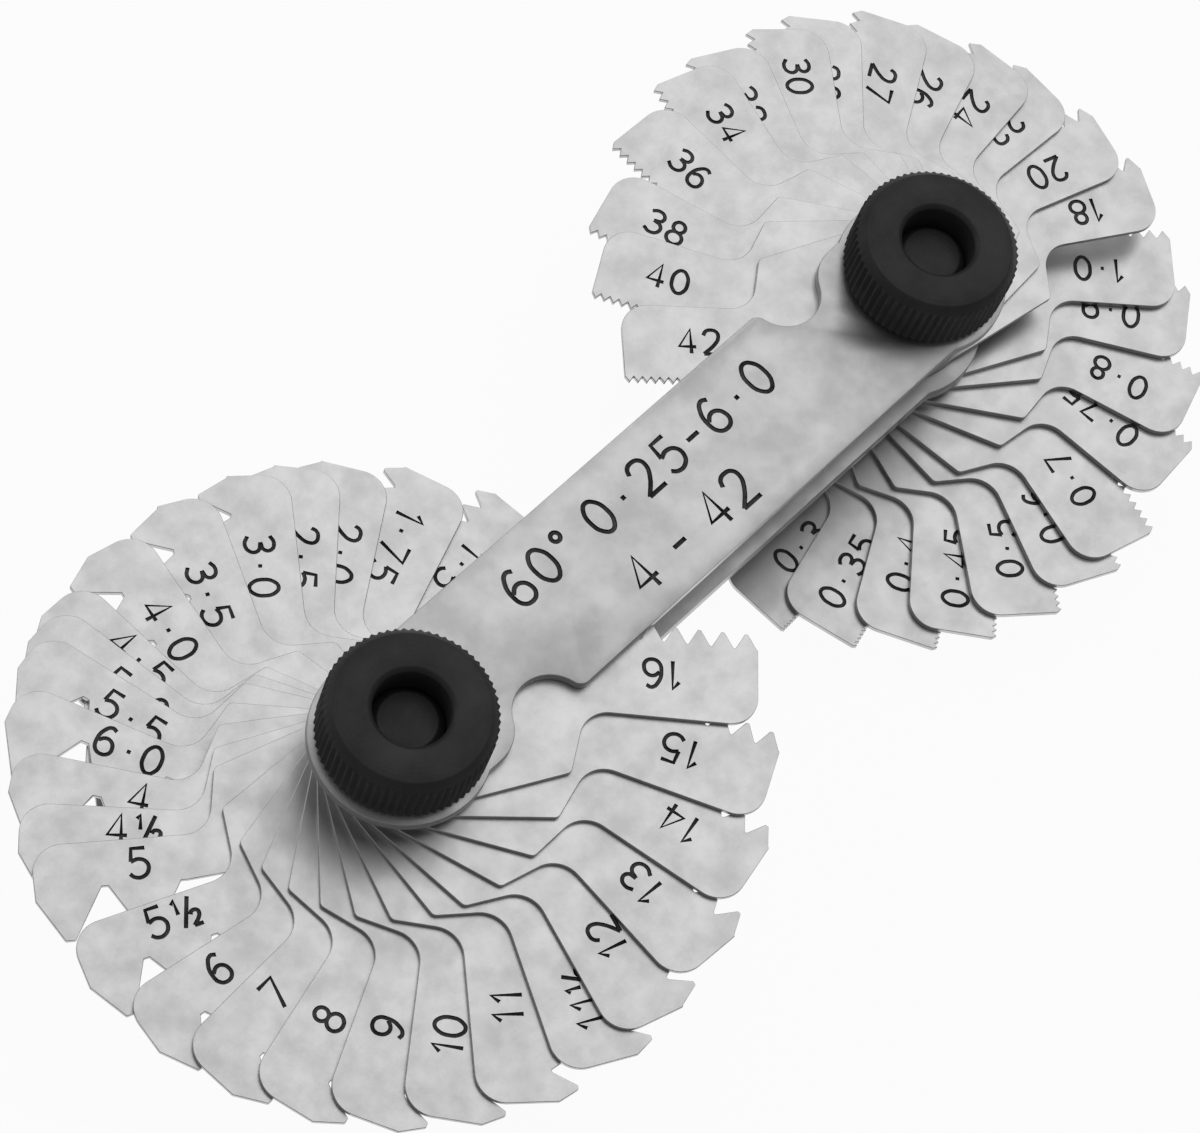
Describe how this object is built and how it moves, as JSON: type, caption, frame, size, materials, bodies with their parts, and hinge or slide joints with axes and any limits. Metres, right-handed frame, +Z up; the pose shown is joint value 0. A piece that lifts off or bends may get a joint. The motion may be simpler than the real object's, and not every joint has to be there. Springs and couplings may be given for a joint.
{
  "type": "thread pitch gauge",
  "caption": "Pocket thread pitch gauge: fans of toothed steel leaves turn on two clamping screws with knurled nuts, between a front plate and a divider plate.",
  "frame": {"origin": "on the axis of the coarse-leaf screw, at the underside of its flat head", "axes": "+Z up along the screws towards the knurled nuts, +X from the coarse-leaf screw towards the fine-leaf screw, +Y across the plates"},
  "size_m": [0.0997, 0.0499, 0.0194],
  "materials": {
    "leaf_steel": "satin rolled steel with numbers pressed in",
    "plate_steel": "satin rolled steel",
    "divider_steel": "dull rolled steel",
    "washer_steel": "dull steel",
    "nut_black": "black oxide, matte, straight knurl",
    "screw_black": "black oxide, matte"
  },
  "bodies": {
    "body": {"front_plate": "plate_steel", "divider_plate": "divider_steel", "pivot_screws": "screw_black", "spacer_washer": "washer_steel"},
    "knurled_nut_a": {"knurled_nut_a": "nut_black"},
    "knurled_nut_b": {"knurled_nut_b": "nut_black"},
    "leaf_tpi_16": {"leaf_tpi_16": "leaf_steel"},
    "leaf_tpi_15": {"leaf_tpi_15": "leaf_steel"},
    "leaf_tpi_14": {"leaf_tpi_14": "leaf_steel"},
    "leaf_tpi_13": {"leaf_tpi_13": "leaf_steel"},
    "leaf_tpi_12": {"leaf_tpi_12": "leaf_steel"},
    "leaf_tpi_11_5": {"leaf_tpi_11_5": "leaf_steel"},
    "leaf_tpi_11": {"leaf_tpi_11": "leaf_steel"},
    "leaf_tpi_10": {"leaf_tpi_10": "leaf_steel"},
    "leaf_tpi_9": {"leaf_tpi_9": "leaf_steel"},
    "leaf_tpi_8": {"leaf_tpi_8": "leaf_steel"},
    "leaf_tpi_7": {"leaf_tpi_7": "leaf_steel"},
    "leaf_tpi_6": {"leaf_tpi_6": "leaf_steel"},
    "leaf_tpi_5_5": {"leaf_tpi_5_5": "leaf_steel"},
    "leaf_tpi_5": {"leaf_tpi_5": "leaf_steel"},
    "leaf_tpi_4_5": {"leaf_tpi_4_5": "leaf_steel"},
    "leaf_tpi_4": {"leaf_tpi_4": "leaf_steel"},
    "leaf_tpi_42": {"leaf_tpi_42": "leaf_steel"},
    "leaf_tpi_40": {"leaf_tpi_40": "leaf_steel"},
    "leaf_tpi_38": {"leaf_tpi_38": "leaf_steel"},
    "leaf_tpi_36": {"leaf_tpi_36": "leaf_steel"},
    "leaf_tpi_34": {"leaf_tpi_34": "leaf_steel"},
    "leaf_tpi_32": {"leaf_tpi_32": "leaf_steel"},
    "leaf_tpi_30": {"leaf_tpi_30": "leaf_steel"},
    "leaf_tpi_28": {"leaf_tpi_28": "leaf_steel"},
    "leaf_tpi_27": {"leaf_tpi_27": "leaf_steel"},
    "leaf_tpi_26": {"leaf_tpi_26": "leaf_steel"},
    "leaf_tpi_24": {"leaf_tpi_24": "leaf_steel"},
    "leaf_tpi_22": {"leaf_tpi_22": "leaf_steel"},
    "leaf_tpi_20": {"leaf_tpi_20": "leaf_steel"},
    "leaf_tpi_18": {"leaf_tpi_18": "leaf_steel"},
    "leaf_mm_6_0": {"leaf_mm_6_0": "leaf_steel"},
    "leaf_mm_5_5": {"leaf_mm_5_5": "leaf_steel"},
    "leaf_mm_5_0": {"leaf_mm_5_0": "leaf_steel"},
    "leaf_mm_4_5": {"leaf_mm_4_5": "leaf_steel"},
    "leaf_mm_4_0": {"leaf_mm_4_0": "leaf_steel"},
    "leaf_mm_3_5": {"leaf_mm_3_5": "leaf_steel"},
    "leaf_mm_3_0": {"leaf_mm_3_0": "leaf_steel"},
    "leaf_mm_2_5": {"leaf_mm_2_5": "leaf_steel"},
    "leaf_mm_2_0": {"leaf_mm_2_0": "leaf_steel"},
    "leaf_mm_1_75": {"leaf_mm_1_75": "leaf_steel"},
    "leaf_mm_1_5": {"leaf_mm_1_5": "leaf_steel"},
    "leaf_mm_1_25": {"leaf_mm_1_25": "leaf_steel"},
    "leaf_mm_1_0": {"leaf_mm_1_0": "leaf_steel"},
    "leaf_mm_0_9": {"leaf_mm_0_9": "leaf_steel"},
    "leaf_mm_0_8": {"leaf_mm_0_8": "leaf_steel"},
    "leaf_mm_0_75": {"leaf_mm_0_75": "leaf_steel"},
    "leaf_mm_0_7": {"leaf_mm_0_7": "leaf_steel"},
    "leaf_mm_0_6": {"leaf_mm_0_6": "leaf_steel"},
    "leaf_mm_0_5": {"leaf_mm_0_5": "leaf_steel"},
    "leaf_mm_0_45": {"leaf_mm_0_45": "leaf_steel"},
    "leaf_mm_0_4": {"leaf_mm_0_4": "leaf_steel"},
    "leaf_mm_0_35": {"leaf_mm_0_35": "leaf_steel"},
    "leaf_mm_0_3": {"leaf_mm_0_3": "leaf_steel"},
    "leaf_mm_0_25": {"leaf_mm_0_25": "leaf_steel"}
  },
  "joints": [
    {"name": "knurled_nut_a_turn", "type": "hinge", "parent": "body", "child": "knurled_nut_a", "pos_m": [0, 0, 0.0171], "axis": [0, 0, 1], "continuous": true},
    {"name": "knurled_nut_b_turn", "type": "hinge", "parent": "body", "child": "knurled_nut_b", "pos_m": [0.052, 0, 0.0171], "axis": [0, 0, 1], "continuous": true},
    {"name": "leaf_tpi_16_turn", "type": "hinge", "parent": "body", "child": "leaf_tpi_16", "pos_m": [0, 0, 0.01], "axis": [0, 0, 1], "continuous": true},
    {"name": "leaf_tpi_15_turn", "type": "hinge", "parent": "body", "child": "leaf_tpi_15", "pos_m": [0, 0, 0.01], "axis": [0, 0, 1], "continuous": true},
    {"name": "leaf_tpi_14_turn", "type": "hinge", "parent": "body", "child": "leaf_tpi_14", "pos_m": [0, 0, 0.01], "axis": [0, 0, 1], "continuous": true},
    {"name": "leaf_tpi_13_turn", "type": "hinge", "parent": "body", "child": "leaf_tpi_13", "pos_m": [0, 0, 0.01], "axis": [0, 0, 1], "continuous": true},
    {"name": "leaf_tpi_12_turn", "type": "hinge", "parent": "body", "child": "leaf_tpi_12", "pos_m": [0, 0, 0.01], "axis": [0, 0, 1], "continuous": true},
    {"name": "leaf_tpi_11_5_turn", "type": "hinge", "parent": "body", "child": "leaf_tpi_11_5", "pos_m": [0, 0, 0.01], "axis": [0, 0, 1], "continuous": true},
    {"name": "leaf_tpi_11_turn", "type": "hinge", "parent": "body", "child": "leaf_tpi_11", "pos_m": [0, 0, 0.01], "axis": [0, 0, 1], "continuous": true},
    {"name": "leaf_tpi_10_turn", "type": "hinge", "parent": "body", "child": "leaf_tpi_10", "pos_m": [0, 0, 0.01], "axis": [0, 0, 1], "continuous": true},
    {"name": "leaf_tpi_9_turn", "type": "hinge", "parent": "body", "child": "leaf_tpi_9", "pos_m": [0, 0, 0.01], "axis": [0, 0, 1], "continuous": true},
    {"name": "leaf_tpi_8_turn", "type": "hinge", "parent": "body", "child": "leaf_tpi_8", "pos_m": [0, 0, 0.01], "axis": [0, 0, 1], "continuous": true},
    {"name": "leaf_tpi_7_turn", "type": "hinge", "parent": "body", "child": "leaf_tpi_7", "pos_m": [0, 0, 0.01], "axis": [0, 0, 1], "continuous": true},
    {"name": "leaf_tpi_6_turn", "type": "hinge", "parent": "body", "child": "leaf_tpi_6", "pos_m": [0, 0, 0.01], "axis": [0, 0, 1], "continuous": true},
    {"name": "leaf_tpi_5_5_turn", "type": "hinge", "parent": "body", "child": "leaf_tpi_5_5", "pos_m": [0, 0, 0.01], "axis": [0, 0, 1], "continuous": true},
    {"name": "leaf_tpi_5_turn", "type": "hinge", "parent": "body", "child": "leaf_tpi_5", "pos_m": [0, 0, 0.01], "axis": [0, 0, 1], "continuous": true},
    {"name": "leaf_tpi_4_5_turn", "type": "hinge", "parent": "body", "child": "leaf_tpi_4_5", "pos_m": [0, 0, 0.01], "axis": [0, 0, 1], "continuous": true},
    {"name": "leaf_tpi_4_turn", "type": "hinge", "parent": "body", "child": "leaf_tpi_4", "pos_m": [0, 0, 0.01], "axis": [0, 0, 1], "continuous": true},
    {"name": "leaf_tpi_42_turn", "type": "hinge", "parent": "body", "child": "leaf_tpi_42", "pos_m": [0.052, 0, 0.01], "axis": [0, 0, 1], "continuous": true},
    {"name": "leaf_tpi_40_turn", "type": "hinge", "parent": "body", "child": "leaf_tpi_40", "pos_m": [0.052, 0, 0.01], "axis": [0, 0, 1], "continuous": true},
    {"name": "leaf_tpi_38_turn", "type": "hinge", "parent": "body", "child": "leaf_tpi_38", "pos_m": [0.052, 0, 0.01], "axis": [0, 0, 1], "continuous": true},
    {"name": "leaf_tpi_36_turn", "type": "hinge", "parent": "body", "child": "leaf_tpi_36", "pos_m": [0.052, 0, 0.01], "axis": [0, 0, 1], "continuous": true},
    {"name": "leaf_tpi_34_turn", "type": "hinge", "parent": "body", "child": "leaf_tpi_34", "pos_m": [0.052, 0, 0.01], "axis": [0, 0, 1], "continuous": true},
    {"name": "leaf_tpi_32_turn", "type": "hinge", "parent": "body", "child": "leaf_tpi_32", "pos_m": [0.052, 0, 0.01], "axis": [0, 0, 1], "continuous": true},
    {"name": "leaf_tpi_30_turn", "type": "hinge", "parent": "body", "child": "leaf_tpi_30", "pos_m": [0.052, 0, 0.01], "axis": [0, 0, 1], "continuous": true},
    {"name": "leaf_tpi_28_turn", "type": "hinge", "parent": "body", "child": "leaf_tpi_28", "pos_m": [0.052, 0, 0.01], "axis": [0, 0, 1], "continuous": true},
    {"name": "leaf_tpi_27_turn", "type": "hinge", "parent": "body", "child": "leaf_tpi_27", "pos_m": [0.052, 0, 0.01], "axis": [0, 0, 1], "continuous": true},
    {"name": "leaf_tpi_26_turn", "type": "hinge", "parent": "body", "child": "leaf_tpi_26", "pos_m": [0.052, 0, 0.01], "axis": [0, 0, 1], "continuous": true},
    {"name": "leaf_tpi_24_turn", "type": "hinge", "parent": "body", "child": "leaf_tpi_24", "pos_m": [0.052, 0, 0.01], "axis": [0, 0, 1], "continuous": true},
    {"name": "leaf_tpi_22_turn", "type": "hinge", "parent": "body", "child": "leaf_tpi_22", "pos_m": [0.052, 0, 0.01], "axis": [0, 0, 1], "continuous": true},
    {"name": "leaf_tpi_20_turn", "type": "hinge", "parent": "body", "child": "leaf_tpi_20", "pos_m": [0.052, 0, 0.01], "axis": [0, 0, 1], "continuous": true},
    {"name": "leaf_tpi_18_turn", "type": "hinge", "parent": "body", "child": "leaf_tpi_18", "pos_m": [0.052, 0, 0.01], "axis": [0, 0, 1], "continuous": true},
    {"name": "leaf_mm_6_0_turn", "type": "hinge", "parent": "body", "child": "leaf_mm_6_0", "pos_m": [0, 0, 0.01], "axis": [0, 0, 1], "continuous": true},
    {"name": "leaf_mm_5_5_turn", "type": "hinge", "parent": "body", "child": "leaf_mm_5_5", "pos_m": [0, 0, 0.01], "axis": [0, 0, 1], "continuous": true},
    {"name": "leaf_mm_5_0_turn", "type": "hinge", "parent": "body", "child": "leaf_mm_5_0", "pos_m": [0, 0, 0.01], "axis": [0, 0, 1], "continuous": true},
    {"name": "leaf_mm_4_5_turn", "type": "hinge", "parent": "body", "child": "leaf_mm_4_5", "pos_m": [0, 0, 0.01], "axis": [0, 0, 1], "continuous": true},
    {"name": "leaf_mm_4_0_turn", "type": "hinge", "parent": "body", "child": "leaf_mm_4_0", "pos_m": [0, 0, 0.01], "axis": [0, 0, 1], "continuous": true},
    {"name": "leaf_mm_3_5_turn", "type": "hinge", "parent": "body", "child": "leaf_mm_3_5", "pos_m": [0, 0, 0.01], "axis": [0, 0, 1], "continuous": true},
    {"name": "leaf_mm_3_0_turn", "type": "hinge", "parent": "body", "child": "leaf_mm_3_0", "pos_m": [0, 0, 0.01], "axis": [0, 0, 1], "continuous": true},
    {"name": "leaf_mm_2_5_turn", "type": "hinge", "parent": "body", "child": "leaf_mm_2_5", "pos_m": [0, 0, 0.01], "axis": [0, 0, 1], "continuous": true},
    {"name": "leaf_mm_2_0_turn", "type": "hinge", "parent": "body", "child": "leaf_mm_2_0", "pos_m": [0, 0, 0.01], "axis": [0, 0, 1], "continuous": true},
    {"name": "leaf_mm_1_75_turn", "type": "hinge", "parent": "body", "child": "leaf_mm_1_75", "pos_m": [0, 0, 0.01], "axis": [0, 0, 1], "continuous": true},
    {"name": "leaf_mm_1_5_turn", "type": "hinge", "parent": "body", "child": "leaf_mm_1_5", "pos_m": [0, 0, 0.01], "axis": [0, 0, 1], "continuous": true},
    {"name": "leaf_mm_1_25_turn", "type": "hinge", "parent": "body", "child": "leaf_mm_1_25", "pos_m": [0, 0, 0.01], "axis": [0, 0, 1], "continuous": true},
    {"name": "leaf_mm_1_0_turn", "type": "hinge", "parent": "body", "child": "leaf_mm_1_0", "pos_m": [0.052, 0, 0.01], "axis": [0, 0, 1], "continuous": true},
    {"name": "leaf_mm_0_9_turn", "type": "hinge", "parent": "body", "child": "leaf_mm_0_9", "pos_m": [0.052, 0, 0.01], "axis": [0, 0, 1], "continuous": true},
    {"name": "leaf_mm_0_8_turn", "type": "hinge", "parent": "body", "child": "leaf_mm_0_8", "pos_m": [0.052, 0, 0.01], "axis": [0, 0, 1], "continuous": true},
    {"name": "leaf_mm_0_75_turn", "type": "hinge", "parent": "body", "child": "leaf_mm_0_75", "pos_m": [0.052, 0, 0.01], "axis": [0, 0, 1], "continuous": true},
    {"name": "leaf_mm_0_7_turn", "type": "hinge", "parent": "body", "child": "leaf_mm_0_7", "pos_m": [0.052, 0, 0.01], "axis": [0, 0, 1], "continuous": true},
    {"name": "leaf_mm_0_6_turn", "type": "hinge", "parent": "body", "child": "leaf_mm_0_6", "pos_m": [0.052, 0, 0.01], "axis": [0, 0, 1], "continuous": true},
    {"name": "leaf_mm_0_5_turn", "type": "hinge", "parent": "body", "child": "leaf_mm_0_5", "pos_m": [0.052, 0, 0.01], "axis": [0, 0, 1], "continuous": true},
    {"name": "leaf_mm_0_45_turn", "type": "hinge", "parent": "body", "child": "leaf_mm_0_45", "pos_m": [0.052, 0, 0.01], "axis": [0, 0, 1], "continuous": true},
    {"name": "leaf_mm_0_4_turn", "type": "hinge", "parent": "body", "child": "leaf_mm_0_4", "pos_m": [0.052, 0, 0.01], "axis": [0, 0, 1], "continuous": true},
    {"name": "leaf_mm_0_35_turn", "type": "hinge", "parent": "body", "child": "leaf_mm_0_35", "pos_m": [0.052, 0, 0.01], "axis": [0, 0, 1], "continuous": true},
    {"name": "leaf_mm_0_3_turn", "type": "hinge", "parent": "body", "child": "leaf_mm_0_3", "pos_m": [0.052, 0, 0.01], "axis": [0, 0, 1], "continuous": true},
    {"name": "leaf_mm_0_25_turn", "type": "hinge", "parent": "body", "child": "leaf_mm_0_25", "pos_m": [0.052, 0, 0.01], "axis": [0, 0, 1], "continuous": true}
  ]
}
